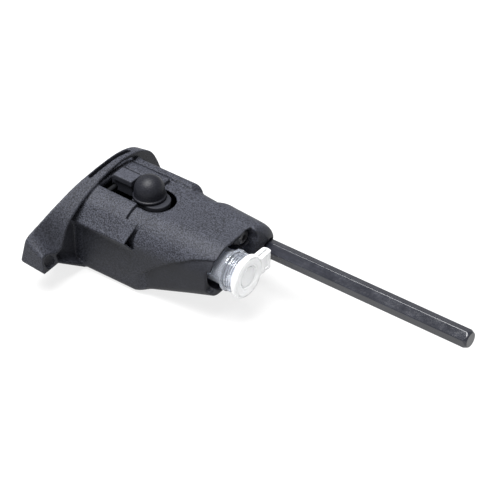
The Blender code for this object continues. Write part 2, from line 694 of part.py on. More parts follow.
clear_scene()
KEY = collection("service_key")
CUTTERS = collection("cutters")
FRAME = bpy.data.objects.new("key_frame", None)
KEY.objects.link(FRAME)
FRAME.location = -MID * MM
LATCH = empty("latch_pivot", FRAME, PIVOT)
VIAL = empty("vial_axis", FRAME, Vector((0.0, VIAL_Y, VIAL_Z)))
CAP = empty("cap_hinge", VIAL, CAP_HINGE - Vector((0.0, VIAL_Y, VIAL_Z)))

main_housing()
end_cover()
for side, (screw_y, screw_z) in zip(("near", "far"), COVER_SCREWS):
    cover_screw("cover_screw_" + side, screw_y, screw_z)
inner_frame()
hex_bar()
ring("bar_bushing", BUSHING_OUTER, BUSHING_INNER, *BUSHING_X, 0.0, 0.0, "inner_black", 24)
nose_plate()
nose_screw()
vial_sleeve()
vial_clip()
vial_tube()
vial_cap()
latch_lever()
latch_button()
latch_pin()
latch_spring()
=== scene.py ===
"""The looks of the plug-in service key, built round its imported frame.

Shapes are worked out in millimetres round the hexagon bar: X along the bar to its tip, Y across
the handle, Z up, zero on the bar's axis at the front of the nose.  `place` moves them to the
frame's own origin.  The moulded pieces are distance fields, so that every edge and corner has
the small radius a moulding has, skinned with one mesh each.
"""

import math

import bmesh
import bpy
import numpy as np
from mathutils import Matrix, Vector


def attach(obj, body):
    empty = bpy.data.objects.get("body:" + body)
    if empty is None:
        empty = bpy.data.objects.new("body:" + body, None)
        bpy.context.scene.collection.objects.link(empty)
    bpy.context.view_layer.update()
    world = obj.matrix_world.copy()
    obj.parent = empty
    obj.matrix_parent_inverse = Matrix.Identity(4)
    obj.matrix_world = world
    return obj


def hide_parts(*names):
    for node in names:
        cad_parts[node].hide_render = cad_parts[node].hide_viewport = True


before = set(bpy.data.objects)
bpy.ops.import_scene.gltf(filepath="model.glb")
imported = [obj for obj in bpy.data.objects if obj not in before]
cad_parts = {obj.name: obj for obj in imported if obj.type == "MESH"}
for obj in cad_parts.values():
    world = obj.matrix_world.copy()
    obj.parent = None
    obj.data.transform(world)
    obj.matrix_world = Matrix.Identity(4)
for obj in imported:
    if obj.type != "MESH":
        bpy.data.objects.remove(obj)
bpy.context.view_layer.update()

MM = 0.001
STEP = 0.28      # grid of the housing's field, mm
FINE = 0.13      # grid of the small moulded pieces, mm

# --- sizes shared with the frame, mm ---------------------------------------------------------
BASE_Z, FLANGE_BOTTOM_Z = -15.9, -15.3
REAR_X, LIP_X, RECESS_X, NOSE_X = -61.6, -50.0, -53.0, -3.0
NEAR_Y, FAR_Y, CENTRE_Y = -43.0, 13.2, -10.5
WALL, GAP = 1.8, 0.3
FLANGE_CORNER, RIM = 9.0, 1.6            # the flange's far lower corner, and the rim below its dish
REAR_TILT = math.radians(15.5)           # how far the rear face leans off square
REAR_SLOPE = math.tan(REAR_TILT)
SLOT_FLOOR_Z = 4.0
SLOT_HALF, SLOT_END_X, BUTTON_X = 5.75, -33.0, -35.7
DOME_RADIUS, SKIRT_RADIUS, SKIRT_Z, DOME_TOP_Z = 4.65, 5.1, 9.8, 16.1
LEVER_TOP_Z, LEVER_HALF, LEVER_END_X = 13.2, 2.35, -33.2
LEVER_PLATE_LOW, LEVER_PLATE_HIGH, LEVER_PLATE_RADIUS = 7.2, 8.9, 4.4
PIVOT_X, PIVOT_Z = -47.6, 8.4
VIAL_Y, VIAL_Z, POCKET_RADIUS = -15.3, 0.7, 7.15
TUBE_RADIUS, TUBE_WALL, TUBE_REAR_X = 5.4, 0.8, -26.5
CAP_RADIUS, CAP_FRONT_X, CAP_BACK_X = 6.7, 4.66, 2.8
HINGE_X, HINGE_Y = 2.85, VIAL_Y + 11.0
STRAP_LOW, STRAP_HIGH = VIAL_Z - 3.3, VIAL_Z + 2.9
SCREW_Y, SCREW_Z = -7.0, 6.3             # nose screw, its counterbore and its hole
NOSE_HEAD_ROOM, NOSE_HEAD_SEAT_X, NOSE_HOLE = 2.75, -4.7, 1.5
COVER = (-30.0, 9.8, -14.4, 9.6)         # edges of the rear cover: near, far, bottom, top
COVER_CORNERS = (11.0, 12.0, 10.5, 8.0)  # its radii: far top, near top, near low, far low
COVER_STEP, COVER_DEPTH = 1.8, 1.45
COVER_SCREWS = ((-19.1, -7.6), (-1.1, -7.6))
COVER_HEAD_ROOM, COVER_HOLE = 2.9, 1.7
BAR_FLATS, BAR_TIP_X, BAR_BEND = 5.0, 70.0, Vector((-28.0, 0.0, -5.0))
BAR_LEG_Z, BAR_ROLL, BAR_CORNER = -10.4, math.radians(10.5), 2.82
BAR_ROOM_RADIUS, BAR_MOUTH_RADIUS = 4.1, 3.3
HANDLE = np.array((  # X, near Y, far Y, bottom Z, top Z, then the radii in the cover's order
    (-53.0, -25.2, 5.2, BASE_Z, 10.3, 9.0, 9.0, 2.5, 4.0),
    (-31.0, -25.0, 5.2, BASE_Z, 9.8, 6.5, 9.0, 2.5, 4.0),
    (-12.0, -24.5, 5.0, -10.1, 9.55, 9.5, 9.0, 4.6, 4.0),
    (-3.0, -24.3, 4.2, -7.5, 9.3, 9.0, 9.0, 5.6, 4.0),
))
MID = Vector(((REAR_X + BAR_TIP_X) / 2, (NEAR_Y + FAR_Y) / 2, BASE_Z))


def place(points):
    """Millimetres round the bar, as metres in the frame."""
    return (np.asarray(points, dtype=np.float64).reshape(-1, 3) - np.array(MID)) * MM


# --- materials -------------------------------------------------------------------------------
class Nodes:
    """A short way to write a node tree."""

    def __init__(self, name):
        self.material = bpy.data.materials.new(name)
        self.material.use_nodes = True
        self.tree = self.material.node_tree
        self.shader = self.tree.nodes["Principled BSDF"]

    def add(self, kind, inputs=(), **settings):
        node = self.tree.nodes.new(kind)
        for key, value in settings.items():
            setattr(node, key, value)
        for key, value in dict(inputs).items():
            self.feed(node.inputs[key], value)
        return node

    def feed(self, socket, value):
        if hasattr(value, "is_output"):
            self.tree.links.new(value, socket)
        elif hasattr(value, "outputs"):
            self.tree.links.new(value.outputs[0], socket)
        else:
            socket.default_value = value

    def place(self):
        return self.add("ShaderNodeTexCoord").outputs["Object"]

    def noise(self, scale, detail=2.0, roughness=0.5, vector=None):
        return self.add("ShaderNodeTexNoise", {
            "Vector": vector or self.place(), "Scale": scale, "Detail": detail, "Roughness": roughness,
        }).outputs["Fac"]

    def spread(self, value, low, high, to_low=0.0, to_high=1.0):
        return self.add("ShaderNodeMapRange", {
            "Value": value, "From Min": low, "From Max": high, "To Min": to_low, "To Max": to_high,
        })

    def ramp(self, value, colours):
        node = self.add("ShaderNodeValToRGB", {"Fac": value})
        ramp = node.color_ramp
        while len(ramp.elements) < len(colours):
            ramp.elements.new(0.5)
        for element, (at, colour) in zip(ramp.elements, colours):
            element.position = at
            element.color = (*colour, 1.0)
        return node

    def math(self, operation, a, b):
        node = self.add("ShaderNodeMath", operation=operation)
        self.feed(node.inputs[0], a)
        self.feed(node.inputs[1], b)
        return node

    def bump(self, height, distance, strength):
        inputs = {"Height": height, "Distance": distance, "Strength": strength}
        return self.add("ShaderNodeBump", inputs)

    def set(self, **values):
        for key, value in values.items():
            self.feed(self.shader.inputs[key.replace("_", " ")], value)
        return self.material


def shade(colour, factor):
    return tuple(c * factor for c in colour)


def grained_plastic(name, colour, grain, rough, shine, grain_and_shade_masked=False):
    """Black moulded plastic with a fine spark-eroded grain.

    With the mask on, the mesh's grain values make the walls where they are low smoother, and darker as
    painted shade.
    """
    n = Nodes(name)
    at = n.place()
    fine = n.noise(2500.0, 2.0, 0.6, at)
    pits = n.add("ShaderNodeTexVoronoi", {"Vector": at, "Scale": 1500.0}).outputs["Distance"]
    cloud = n.noise(120.0, 3.0, 0.55, at)
    relief = n.math("ADD", fine, n.math("MULTIPLY", pits, 0.55))
    depth = grain
    if grain_and_shade_masked:
        grain_shade_values = n.add("ShaderNodeAttribute", attribute_name="grain").outputs["Fac"]
        depth = n.math("MULTIPLY", grain_shade_values, grain)
    speck = n.spread(fine, 0.38, 0.62)
    tone = n.math("ADD", n.math("MULTIPLY", n.math("SUBTRACT", speck, 0.5), depth), 0.5)
    tone = n.math("ADD", tone, n.math("MULTIPLY", n.math("SUBTRACT", cloud, 0.5), 0.5))
    # painted shade: where the mesh's grain value falls below the material's grain, the base colour is
    # darkened
    if grain_and_shade_masked:
        tone = n.math("SUBTRACT", tone, n.math("MULTIPLY", n.math("SUBTRACT", grain, grain_shade_values), 0.5))
    n.set(
        Base_Color=n.ramp(tone, (
            (0.05, shade(colour, 0.42)), (0.5, colour), (0.95, shade(colour, 1.62)))),
        Roughness=n.spread(fine, 0.3, 0.7, rough - 0.06, rough + 0.08),
        Normal=n.bump(relief, 0.00018, n.math("MULTIPLY", depth, 0.8) if grain_and_shade_masked else 0.8 * grain),
    )
    n.shader.inputs["Specular IOR Level"].default_value = shine
    return n.material


def plain_plastic(name, colour, rough):
    """Dull black for the pieces that stay in the shade inside the handle."""
    n = Nodes(name)
    at = n.place()
    cloud = n.noise(260.0, 4.0, 0.6, at)
    fine = n.noise(1800.0, 2.0, 0.5, at)
    n.shader.inputs["Specular IOR Level"].default_value = 0.12
    return n.set(
        Base_Color=n.ramp(cloud, ((0.3, shade(colour, 0.8)), (0.7, shade(colour, 1.2)))),
        Roughness=n.spread(fine, 0.3, 0.7, rough - 0.07, rough + 0.07),
        Normal=n.bump(n.math("ADD", n.math("MULTIPLY", cloud, 0.4), fine), 0.00003, 0.35),
    )


def oxide_steel(name, colour, rough):
    """Black oxide over drawn steel: fine lines along the bar, with small brighter rubs."""
    n = Nodes(name)
    at = n.place()
    along = n.add("ShaderNodeMapping", {"Vector": at, "Scale": (60.0, 1900.0, 1900.0)})
    lines = n.noise(1.0, 3.0, 0.6, along.outputs["Vector"])
    blotch = n.noise(210.0, 4.0, 0.62, at)
    speck = n.noise(1700.0, 2.0, 0.6, at)
    tone = n.math("ADD", n.math("MULTIPLY", lines, 0.45), n.math("MULTIPLY", blotch, 0.55))
    n.set(
        Base_Color=n.ramp(tone, (
            (0.34, shade(colour, 0.72)), (0.52, colour), (0.66, shade(colour, 1.35)))),
        Roughness=n.spread(n.math("ADD", blotch, speck), 0.7, 1.3, rough - 0.06, rough + 0.09),
        Normal=n.bump(n.math("ADD", lines, n.math("MULTIPLY", speck, 0.5)), 0.00002, 0.16),
    )
    n.shader.inputs["Metallic"].default_value = 0.05
    return n.material


def bright_steel(name):
    n = Nodes(name)
    fine = n.noise(1500.0, 3.0, 0.6)
    n.set(
        Base_Color=n.ramp(fine, ((0.3, (0.40, 0.40, 0.41)), (0.7, (0.62, 0.62, 0.63)))),
        Roughness=n.spread(fine, 0.3, 0.7, 0.22, 0.36),
        Normal=n.bump(fine, 0.00002, 0.25),
    )
    n.shader.inputs["Metallic"].default_value = 1.0
    return n.material


def clear_plastic(name, colour, rough, clearness, barrel=None, glow=0.0):
    """Clear moulded plastic with soft flow lines; the barrel can have a clearness of its own.

    The glow isn't physical: it lifts a piece to the white that it has in the photograph.
    """
    n = Nodes(name)
    at = n.place()
    ripple = n.noise(330.0, 3.0, 0.5, at)
    fine = n.noise(1500.0, 2.0, 0.5, at)
    n.set(
        Base_Color=n.ramp(ripple, ((0.3, shade(colour, 0.93)), (0.7, colour))),
        Roughness=n.spread(fine, 0.3, 0.7, max(rough - 0.04, 0.02), rough + 0.05),
        Normal=n.bump(ripple, 0.00006, 0.4),
    )
    n.shader.inputs["Transmission Weight"].default_value = clearness
    if barrel is not None:
        along = n.add("ShaderNodeSeparateXYZ", {"Vector": at}).outputs["X"]
        ends = ((-2.1 - MID.x) * MM, (-1.5 - MID.x) * MM)
        n.set(Transmission_Weight=n.spread(along, *ends, barrel, clearness))
    n.shader.inputs["IOR"].default_value = 1.47
    if glow:
        n.shader.inputs["Emission Color"].default_value = (0.92, 0.96, 1.0, 1.0)
        n.shader.inputs["Emission Strength"].default_value = glow
    return n.material


# the masked materials take painted shade from the mesh's grain values as well as their grain
GRAINED = grained_plastic("grained_black", (0.0270, 0.0287, 0.0372), 1.0, 0.55, 0.20, grain_and_shade_masked=True)
SMOOTHER = grained_plastic("dome_black", (0.0085, 0.0090, 0.0125), 0.30, 0.46, 0.20)
LEVER_BLACK = grained_plastic("lever_black", (0.0290, 0.0305, 0.0385), 0.6, 0.5, 0.16, grain_and_shade_masked=True)
INNER = plain_plastic("inner_black", (0.0060, 0.0063, 0.0075), 0.6)
OXIDE = oxide_steel("black_oxide", (0.0165, 0.0176, 0.0240), 0.14)
SCREW_STEEL = oxide_steel("screw_black", (0.030, 0.030, 0.034), 0.26)
BRIGHT = bright_steel("spring_steel")
TUBE_CLEAR = clear_plastic("tube_clear", (0.88, 0.92, 1.0), 0.04, 0.90, barrel=0.76)
CAP_CLEAR = clear_plastic("cap_clear", (1.0, 1.0, 1.0), 0.05, 0.38, glow=0.05)


# --- distance fields ---------------------------------------------------------------------------
class Grid:
    """A box of points, in millimetres, that a field is worked out on."""

    def __init__(self, low, high, step):
        self.low = np.array(low, dtype=np.float32)
        self.step = step
        count = np.ceil((np.array(high) - np.array(low)) / step).astype(int) + 1
        x, y, z = (self.low[i] + step * np.arange(count[i], dtype=np.float32) for i in range(3))
        self.x, self.y, self.z = x[:, None, None], y[None, :, None], z[None, None, :]


def join(a, b, k):
    """The two shapes together, with a fillet about k wide where they meet."""
    h = np.maximum(k - np.abs(a - b), 0.0) / k
    return np.minimum(a, b) - h * h * k * 0.25


def common(a, b, k):
    return -join(-a, -b, k)


def cut(a, b, k=0.35):
    return common(a, -b, k)


def crossed(a, b):
    """The overlap of two shapes, with round distances outside the corner between them."""
    return np.hypot(np.maximum(a, 0), np.maximum(b, 0)) + np.minimum(np.maximum(a, b), 0)


def box_field(g, low, high, r=0.3):
    outside, inside = 0.0, -1e9
    for v, a, b in zip((g.x, g.y, g.z), low, high):
        q = np.abs(v - (a + b) / 2) - ((b - a) / 2 - r)
        outside = outside + np.maximum(q, 0.0) ** 2
        inside = np.maximum(inside, q)
    return np.sqrt(outside) + np.minimum(inside, 0.0) - r


def rod_field(g, radius, x0, x1, y, z, r=0.2):
    """A round bar along X with its ends' edges rounded."""
    across = np.hypot(g.y - y, g.z - z) - (radius - r)
    along = np.abs(g.x - (x0 + x1) / 2) - ((x1 - x0) / 2 - r)
    return crossed(across, along) - r


def rounded_field(g, y0, y1, z0, z1, far_top, near_top, near_low, far_low):
    """A rectangle in Y and Z with four corner radii; each size may change along X."""
    dy, dz = g.y - (y0 + y1) / 2, g.z - (z0 + z1) / 2
    r = np.where(dy > 0, np.where(dz > 0, far_top, far_low), np.where(dz > 0, near_top, near_low))
    qy, qz = np.abs(dy) - (y1 - y0) / 2 + r, np.abs(dz) - (z1 - z0) / 2 + r
    return crossed(qy, qz) - r


def outline_field(g, points):
    """Distance to a closed outline in Y and Z, negative inside it."""
    y, z = g.y[0], g.z[0]
    near, inside = 1e9, np.zeros((y.shape[0], z.shape[1]), dtype=bool)
    for (ay, az), (by, bz) in zip(points, points[1:] + points[:1]):
        ey, ez = by - ay, bz - az
        if ey * ey + ez * ez < 1e-9:
            continue
        t = np.clip(((y - ay) * ey + (z - az) * ez) / (ey * ey + ez * ez), 0.0, 1.0)
        near = np.minimum(near, (y - ay - t * ey) ** 2 + (z - az - t * ez) ** 2)
        if az != bz:
            inside ^= ((az > z) != (bz > z)) & (y < ey * (z - az) / ez + ay)
    return (np.sqrt(near) * np.where(inside, -1.0, 1.0))[None].astype(np.float32)


def plane_field(g, point, normal):
    normal = Vector(normal).normalized()
    return (g.x - point[0]) * normal.x + (g.y - point[1]) * normal.y + (g.z - point[2]) * normal.z


CORNERS = np.array([(i, j, k) for i in (0, 1) for j in (0, 1) for k in (0, 1)])
CELL_EDGES = [(a, b) for a in range(8) for b in range(a + 1, 8)
              if np.abs(CORNERS[a] - CORNERS[b]).sum() == 1]


def sample(field, at):
    """The field's value between grid points, at positions counted in grid steps."""
    top = np.array(field.shape) - 2
    base = np.clip(np.floor(at).astype(int), 0, top)
    f = at - base
    total = 0.0
    for c in CORNERS:
        weight = np.prod(np.where(c, f, 1 - f), axis=1)
        i = base + c
        total = total + weight * field[i[:, 0], i[:, 1], i[:, 2]]
    return total


def skin_field(name, g, field, body, node, material, grain=None):
    """Skins the zero surface of a field: one vertex a cell, one face a crossed grid edge."""
    field = np.ascontiguousarray(field, dtype=np.float32)
    solid = field < 0
    count = sum(solid[c[0]:solid.shape[0] - 1 + c[0], c[1]:solid.shape[1] - 1 + c[1],
                      c[2]:solid.shape[2] - 1 + c[2]].astype(np.int8) for c in CORNERS)
    cells = np.argwhere((count > 0) & (count < 8))
    ids = np.full(count.shape, -1, dtype=np.int64)
    ids[tuple(cells.T)] = np.arange(len(cells))
    total, hits = np.zeros((len(cells), 3)), np.zeros(len(cells))
    for a, b in CELL_EDGES:
        ia, ib = cells + CORNERS[a], cells + CORNERS[b]
        fa, fb = field[tuple(ia.T)], field[tuple(ib.T)]
        hit = (fa < 0) != (fb < 0)
        t = np.where(hit, fa / np.where(hit, fa - fb, 1.0), 0.0)
        total += np.where(hit[:, None], CORNERS[a] + t[:, None] * (CORNERS[b] - CORNERS[a]), 0.0)
        hits += hit
    at = cells + total / hits[:, None]
    faces = []
    for axis in range(3):
        u, v = (axis + 1) % 3, (axis + 2) % 3
        first, second = [slice(None)] * 3, [slice(None)] * 3
        first[axis], second[axis] = slice(None, -1), slice(1, None)
        lo, hi = solid[tuple(first)], solid[tuple(second)]
        for flip in (False, True):
            edges = np.argwhere((hi & ~lo) if flip else (lo & ~hi))
            keep = (edges[:, u] > 0) & (edges[:, v] > 0)
            keep &= (edges[:, u] < ids.shape[u]) & (edges[:, v] < ids.shape[v])
            edges = edges[keep]
            ring = []
            for du, dv in ((-1, -1), (0, -1), (0, 0), (-1, 0)):
                cell = edges.copy()
                cell[:, u] += du
                cell[:, v] += dv
                ring.append(ids[tuple(cell.T)])
            quad = np.stack(ring, axis=1)
            faces.append(quad[:, ::-1] if flip else quad)
    quads = np.concatenate(faces)
    gradient = np.gradient(field)

    def slope(points):
        return np.stack([sample(d, points) for d in gradient], axis=1)

    pairs = np.concatenate([quads[:, [i, (i + 1) % 4]] for i in range(4)])
    for _ in range(2):
        pull, weight = np.zeros_like(at), np.bincount(pairs[:, 0], minlength=len(at))
        for i in range(3):
            pull[:, i] = np.bincount(pairs[:, 0], weights=at[pairs[:, 1], i], minlength=len(at))
        at = at * 0.45 + 0.55 * pull / np.maximum(weight, 1)[:, None]
        normal = slope(at)
        size = np.maximum((normal ** 2).sum(axis=1), 0.02)
        shift = -(sample(field, at) / size)[:, None] * normal
        at = at + np.clip(shift, -0.5, 0.5)
    normal = slope(at)
    normal /= np.maximum(np.linalg.norm(normal, axis=1), 1e-6)[:, None]
    points = g.low + at * g.step
    mesh = bpy.data.meshes.new(name)
    mesh.vertices.add(len(points))
    mesh.vertices.foreach_set("co", place(points).astype(np.float32).ravel())
    mesh.loops.add(quads.size)
    mesh.loops.foreach_set("vertex_index", quads.astype(np.int32).ravel())
    mesh.polygons.add(len(quads))
    mesh.polygons.foreach_set("loop_start", np.arange(0, quads.size, 4, dtype=np.int32))
    mesh.polygons.foreach_set("use_smooth", np.ones(len(quads), dtype=bool))
    mesh.update(calc_edges=True)
    # the grain values also carry painted shade: a masked material darkens where they are low
    if grain is not None:
        layer = mesh.attributes.new("grain", "FLOAT", "POINT")
        layer.data.foreach_set("value", grain(points, normal).astype(np.float32))
    mesh.normals_split_custom_set_from_vertices(normal)
    return finished(name, mesh, body, node, material)


def finished(name, mesh, body, node, material):
    mesh.materials.clear()
    mesh.materials.append(material)
    made = bpy.data.objects.new(name, mesh)
    bpy.context.scene.collection.objects.link(made)
    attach(made, body)
    if node is not None:
        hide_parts(node)
    return made


# --- skins over rings of points ----------------------------------------------------------------
def skin_rings(name, rings, body, node, material, sharp=35.0):
    """A closed skin over rings that all have the same count; a ring of one point closes an end."""
    bm = bmesh.new()
    made = [[bm.verts.new(place(p)[0]) for p in ring] for ring in rings]
    for a, b in zip(made, made[1:]):
        n = max(len(a), len(b))
        for i in range(n):
            j = (i + 1) % n
            if len(a) == 1:
                bm.faces.new((a[0], b[j], b[i]))
            elif len(b) == 1:
                bm.faces.new((a[i], a[j], b[0]))
            else:
                bm.faces.new((a[i], a[j], b[j], b[i]))
    for end in (made[0], made[-1]):
        if len(end) > 2:
            bm.faces.new(end)
    bmesh.ops.recalc_face_normals(bm, faces=bm.faces)
    mesh = bpy.data.meshes.new(name)
    bm.to_mesh(mesh)
    bm.free()
    mesh.shade_smooth()
    mesh.set_sharp_from_angle(angle=math.radians(sharp))
    return finished(name, mesh, body, node, material)


def eased(profile, reach):
    """A profile whose corners are swapped for short curves; the two ends stay."""
    out = [Vector(profile[0])]
    for a, p, c in zip(profile, profile[1:], profile[2:]):
        a, p, c = Vector(a), Vector(p), Vector(c)
        u, v = a - p, c - p
        if u.length < 1e-6 or v.length < 1e-6 or u.angle(v) > math.radians(160):
            out.append(p)
            continue
        d = min(reach, 0.45 * u.length, 0.45 * v.length)
        u, v = p + u.normalized() * d, p + v.normalized() * d
        out += [u * (1 - t) ** 2 + p * 2 * t * (1 - t) + v * t * t for t in (0.0, 0.25, 0.5, 0.75, 1.0)]
    out.append(Vector(profile[-1]))
    return out


def turned_rings(profile, centre, axis, steps=72):
    """Rings for a profile of (radius, height) turned about an axis through a centre."""
    rings = []
    for r, h in profile:
        count = 1 if r < 1e-6 else steps
        ring = []
        for i in range(count):
            a = 2 * math.pi * i / steps
            if axis == "X":
                ring.append((centre[0] + h, centre[1] + r * math.cos(a), centre[2] + r * math.sin(a)))
            else:
                ring.append((centre[0] + r * math.cos(a), centre[1] + r * math.sin(a), centre[2] + h))
        rings.append(ring)
    return rings


def spline(points, steps=8):
    """A Catmull-Rom curve through the points."""
    ends = [points[0], *points, points[-1]]
    out = []
    for p0, p1, p2, p3 in zip(ends, ends[1:], ends[2:], ends[3:]):
        for i in range(steps):
            t = i / steps
            out.append(tuple(
                0.5 * (2 * b + (c - a) * t + (2 * a - 5 * b + 4 * c - d) * t * t
                       + (3 * b - a - 3 * c + d) * t ** 3)
                for a, b, c, d in zip(p0, p1, p2, p3)
            ))
    out.append(points[-1])
    return out


def arc(centre, radius, start, end, steps=14):
    angles = [math.radians(start + (end - start) * i / steps) for i in range(steps + 1)]
    return [(centre[0] + radius * math.cos(a), centre[1] + radius * math.sin(a)) for a in angles]


# --- the handle's moulding ----------------------------------------------------------------------
LOWER_RIM = (
    arc((FAR_Y - FLANGE_CORNER, FLANGE_BOTTOM_Z + FLANGE_CORNER), FLANGE_CORNER, 0, -90)
    + [(-25.0, FLANGE_BOTTOM_Z), (-36.1, -6.9)]
)
LIP = (  # the flange's outline at its front: notched near side, crown, far side and rim
    [(NEAR_Y + 0.75, -7.25), (NEAR_Y + 0.15, -6.3)]
    + spline([(NEAR_Y, -1.3), (-42.5, -0.5), (-41.1, -0.6), (-39.2, -1.1),
              (-37.0, -2.1), (-35.6, -2.15), (-34.4, -1.6)])[:-1]
    + spline([(-34.4, -1.6), (-30.6, 5.0), (-20.5, 10.4), (-4.0, 13.2), (7.6, 9.0), (FAR_Y, -2.0)])
    + LOWER_RIM
)
END = (
    [(NEAR_Y + 0.55, -6.3), (NEAR_Y + 0.1, -5.4)]
    + spline([(NEAR_Y, 1.6), (-42.8, 2.9), (-42.0, 3.9), (-40.8, 4.7),
              (-39.5, 5.3), (-38.1, 5.9), (-36.6, 6.6)])[:-1]
    + spline([(-36.6, 6.6), (-30.6, 9.3), (-20.1, 12.6), (-4.0, 13.5), (6.8, 8.8), (FAR_Y, -2.0)])
    + LOWER_RIM
)
DISH = (
    spline([(-36.6, -3.4), (-34.2, -2.7), (-32.5, 0.3), (-29.6, 4.6),
            (-20.0, 9.4), (-5.0, 12.1), (3.6, 8.2), (8.0, -2.0)])
    + arc((1.6, FLANGE_BOTTOM_Z + FLANGE_CORNER), 6.4, 0, -90)
    + [(-24.6, FLANGE_BOTTOM_Z + RIM), (-35.8, -6.3)]
)
DIMPLE = [(-39.8 + 2.2 * math.cos(a) + 0.4 * math.sin(a), -4.0 - 1.45 * math.cos(a) + 2.1 * math.sin(a))
          for a in (math.pi * i / 16 for i in range(32))]
ROOF_EDGE = (  # X and Z of the line where the grained roof ends above the near wall
    (-30.0, -9.5), (-27.0, -6.8), (-22.0, -2.0), (-16.8, 1.7), (-9.6, 5.1), (-5.6, 6.2), (0.0, 7.2),
)


def end_plane_x(z):
    return REAR_X + REAR_SLOPE * (z - FLANGE_BOTTOM_Z)


def handle_field(g):
    columns = [np.interp(g.x[:, 0, 0], HANDLE[:, 0], HANDLE[:, i])[:, None, None] for i in range(1, 9)]
    return rounded_field(g, *columns).astype(np.float32)


def roof_edge_z(x):
    return np.interp(x, [p[0] for p in ROOF_EDGE], [p[1] for p in ROOF_EDGE])


def flange_sides(g):
    """Straight lines from the lip's outline to the sloped end's, worked out slice by slice."""
    lip, end = np.array(LIP), np.array(END)
    reach = LIP_X - end_plane_x(end[:, 1])
    sides = np.empty((g.x.size, g.y.size, g.z.size), dtype=np.float32)
    front = outline_field(g, LIP)[0]
    for i, x in enumerate(g.x.ravel()):
        if x >= LIP_X:
            sides[i] = front
            continue
        t = np.minimum((LIP_X - x) / reach, 1.2)[:, None]
        sides[i] = outline_field(g, [tuple(p) for p in lip + (end - lip) * t])[0]
    return sides


def flange_field(g):
    rear = end_plane_x(g.z)
    flange = common(flange_sides(g), g.x - LIP_X, 0.35)
    flange = common(flange, (rear - g.x) * math.cos(REAR_TILT), 0.7)
    dish = common(outline_field(g, DISH), RECESS_X - g.x, 3.0)
    dimple = common(outline_field(g, DIMPLE), LIP_X - 1.2 - g.x, 0.8)
    return cut(cut(flange, dish, 0.6), dimple, 0.3)


def pad_faces(g):
    """The raised pad on the near shoulder: its flat top, undercut edge and slanted front."""
    top = plane_field(g, (0, -27.3, 3.0), (0, -4.9, 4.4))
    under = plane_field(g, (0, -27.3, 3.0), (0, -3.25, -2.3))
    front = plane_field(g, (-32.2, -27.3, 3.0), (27.4, -16.2, 5.4))
    return top, under, front


def pad_field(g):
    top, under, front = pad_faces(g)
    pad = common(common(top, under, 0.35), front, 0.2)
    pad = common(pad, g.y + 22.3 + 0.0 * g.z, 0.4)
    return np.maximum(pad, RECESS_X - g.x)


def pad_hollow(g, body):
    """The dark pit that opens in the pad's front: a thin skin over it, a shallow floor below."""
    top, under, front = pad_faces(g)
    hollow = np.maximum(np.maximum(top + 0.4, under + 0.45), -body - 1.1)
    return np.maximum(np.maximum(hollow, front - 0.1), -35.5 - g.x)


def rail_field(g):
    """A slim ridge along the far edge of the roof, cut off at a slant at its front end."""
    ridge = np.hypot((g.y - 1.0) * 0.85, g.z - 7.6) - 2.0
    ridge = common(ridge, plane_field(g, (-28.6, 0.0, 9.5), (1.0, 0.0, 0.9)), 0.5)
    return np.maximum(ridge, -53.5 - g.x)


def hood_field(g):
    """The rounded hood over the bar's root: flush with the roof, bulging forward of the nose."""
    across = np.maximum(np.hypot(g.y + 4.6, g.z) - 4.0, -g.y)
    along = g.x + 4.8
    ball = crossed(across, along) - 6.0
    sides = np.maximum(np.maximum(-4.9 - g.y, -4.0 - g.z), -12.0 - g.x)
    lean = plane_field(g, (1.2, 0.0, 3.2), (5.0, 0.0, -2.6))
    return common(common(common(ball, handle_field(g), 0.8), lean, 1.2), sides, 0.25)


def cover_field(g, inset=0.0):
    y0, y1, z0, z1 = COVER
    return rounded_field(g, y0 + inset, y1 - inset, z0 + inset, z1 - inset,
                         *(radius - inset for radius in COVER_CORNERS))


def slot_field(g):
    round_end = np.hypot(np.maximum(g.x - SLOT_END_X, 0.0), g.y - CENTRE_Y) - SLOT_HALF
    return np.maximum(np.maximum(round_end, LIP_X + 0.05 - g.x), SLOT_FLOOR_Z - g.z)


def nose_cuts(g):
    """The rooms cut into the nose, each with the radius of its edge."""
    from_vial = np.hypot(g.y - VIAL_Y, g.z - VIAL_Z)
    flare = (from_vial - POCKET_RADIUS - 0.5 - (g.x - NOSE_X) * 0.9) * 0.74
    pocket = np.maximum(np.minimum(from_vial - POCKET_RADIUS, flare), -14.0 - g.x)
    near_front = box_field(g, (-4.9, -30.0, -4.0), (4.0, -21.3, 3.0), 0.5)
    seat = box_field(g, (-6.0, -12.8, -5.6), (4.0, -4.85, 8.7), 0.2)
    window = box_field(g, (-14.0, -12.0, -5.6), (-5.0, -4.85, 3.1), 0.2)
    bar_room = join(rod_field(g, BAR_ROOM_RADIUS, -14.0, -2.6, 0.0, 0.0),
                    rod_field(g, BAR_MOUTH_RADIUS, -6.0, 6.0, 0.0, 0.0), 0.2)
    bar_front = box_field(g, (-1.8, -4.1, -9.0), (6.0, 9.0, 0.0), 0.4)
    thread = rod_field(g, NOSE_HOLE, -11.6, 2.0, SCREW_Y, SCREW_Z)
    head = rod_field(g, NOSE_HEAD_ROOM, NOSE_HEAD_SEAT_X, 4.0, SCREW_Y, SCREW_Z)
    return ((pocket, 0.5), (near_front, 0.5), (seat, 0.25), (window, 0.25), (bar_room, 0.5),
            (bar_front, 0.4), (thread, 0.2), (head, 0.25))


